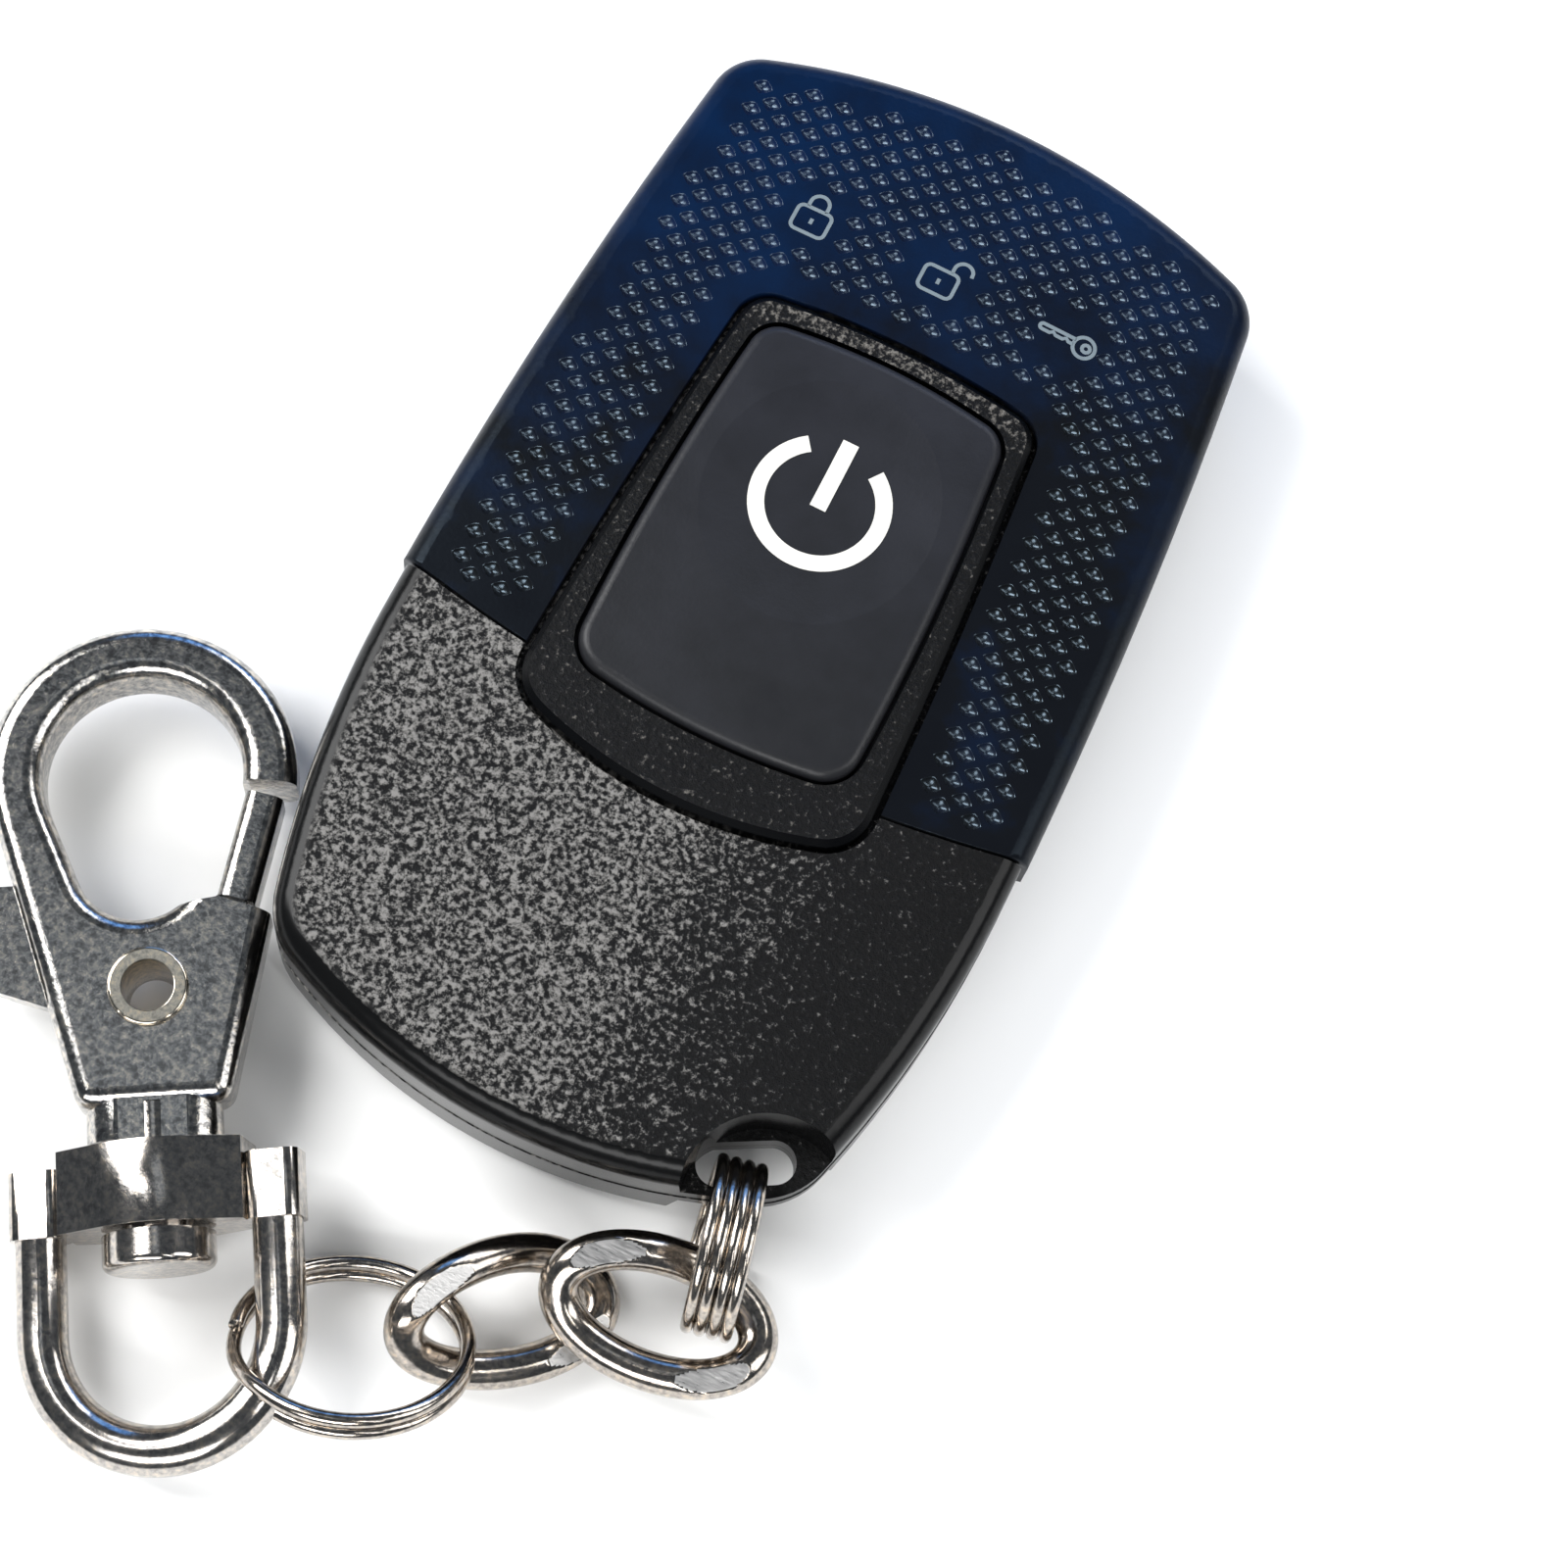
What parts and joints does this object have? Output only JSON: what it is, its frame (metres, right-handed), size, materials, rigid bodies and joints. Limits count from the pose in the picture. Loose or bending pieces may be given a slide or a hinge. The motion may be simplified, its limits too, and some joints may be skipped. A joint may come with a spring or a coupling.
{
  "type": "car key fob",
  "caption": "Oval-shouldered car key fob with one start button in a trapezoid bezel, hung by a coil ring, curb links and a split ring on a trigger clasp.",
  "frame": {"origin": "middle of the fob's flat back", "axes": "+Y up the fob, away from the chain; +Z out of the button face; +X to the right seen from the front"},
  "size_m": [0.0538, 0.0898, 0.0109],
  "materials": {
    "case_plastic": "fine grained",
    "cover_plastic": "satin",
    "bezel_plastic": "grained black",
    "button_plastic": "satin",
    "silicone": "matte",
    "light_pipe": "clear",
    "board": "solder mask",
    "component_plastic": "matte",
    "tin_plate": "tin plated",
    "cell_steel": "nickel",
    "spring_bronze": "plated",
    "copper_wire": "enamelled",
    "seal_rubber": "matte",
    "screw_steel": "black oxide",
    "dark_chrome": "dark polished",
    "chrome": "bright polished"
  },
  "bodies": {
    "fob": {"rear_shell": "case_plastic", "front_shell": "case_plastic", "upper_cover": "cover_plastic", "button_bezel": "bezel_plastic", "button_membrane": "silicone", "circuit_board": "board", "tact_switch": "component_plastic", "main_chip": "component_plastic", "radio_module": "tin_plate", "crystal": "tin_plate", "indicator_lamps": "light_pipe", "light_guides": "light_pipe", "coin_cell": "cell_steel", "battery_contact_negative": "spring_bronze", "battery_contact_positive": "spring_bronze", "shell_screws": "screw_steel", "antenna_coil": "copper_wire"},
    "button": {"start_button": "button_plastic"},
    "plunger": {"switch_plunger": "component_plastic"},
    "battery_door": {"battery_door": "case_plastic", "door_seal": "seal_rubber"},
    "coil_ring": {"coil_jump_ring": "dark_chrome"},
    "link_1": {"chain_link_1": "dark_chrome"},
    "link_2": {"chain_link_2": "dark_chrome"},
    "split_ring": {"split_ring": "dark_chrome"},
    "eye": {"swivel_eye": "chrome"},
    "hook": {"hook_body": "chrome", "swivel_stem": "chrome", "gate_rivet": "chrome", "gate_spring": "spring_bronze"},
    "gate": {"gate_lever": "chrome"}
  },
  "joints": [
    {"name": "start_button_press", "type": "slide", "parent": "fob", "child": "button", "axis": [0, 0, -1], "range_m": [0, 0.0003], "stiffness_N_per_m": 900, "deforming": ["button_membrane"]},
    {"name": "switch_plunger_press", "type": "slide", "parent": "fob", "child": "plunger", "axis": [0, 0, -1], "range_m": [0, 0.0003]},
    {"name": "battery_door_turn", "type": "hinge", "parent": "fob", "child": "battery_door", "pos_m": [0, 0.0135, 0.0006], "axis": [0, 0, 1], "range_deg": [0, 35]},
    {"name": "ring_swing", "type": "hinge", "parent": "fob", "child": "coil_ring", "pos_m": [0.01292, -0.02976, 0.0052], "axis": [1, 0, 0], "range_deg": [-25, 12]},
    {"name": "link_1_swing", "type": "hinge", "parent": "coil_ring", "child": "link_1", "pos_m": [0.0135, -0.0338, 0.0045], "axis": [1, 0, 0], "range_deg": [-30, 30]},
    {"name": "link_2_swing", "type": "hinge", "parent": "link_1", "child": "link_2", "pos_m": [0.0077, -0.0386, 0.0036], "axis": [0, 0, 1], "range_deg": [0, 25]},
    {"name": "split_ring_swing", "type": "hinge", "parent": "link_2", "child": "split_ring", "pos_m": [0.00035, -0.04368, 0.00414], "axis": [-0.3208, 0.6843, 0.6549], "range_deg": [0, 15]},
    {"name": "eye_swing", "type": "hinge", "parent": "split_ring", "child": "eye", "pos_m": [-0.00682, -0.04392, 0.00476], "axis": [-0.5119, 0.859, 0], "range_deg": [0, 30]},
    {"name": "clasp_swivel", "type": "hinge", "parent": "eye", "child": "hook", "pos_m": [-0.01462, -0.0431, 0.0037], "axis": [-0.5119, 0.859, 0], "range_deg": [-120, 120]},
    {"name": "gate_open", "type": "hinge", "parent": "hook", "child": "gate", "pos_m": [-0.02015, -0.03382, 0.0037], "axis": [0, 0, 1], "range_deg": [0, 26], "stiffness_Nm_per_rad": 0.004, "springref_deg": -11.46}
  ],
  "couplings": [
    {"joint": "switch_plunger_press", "follows": "start_button_press", "ratio": 1}
  ]
}
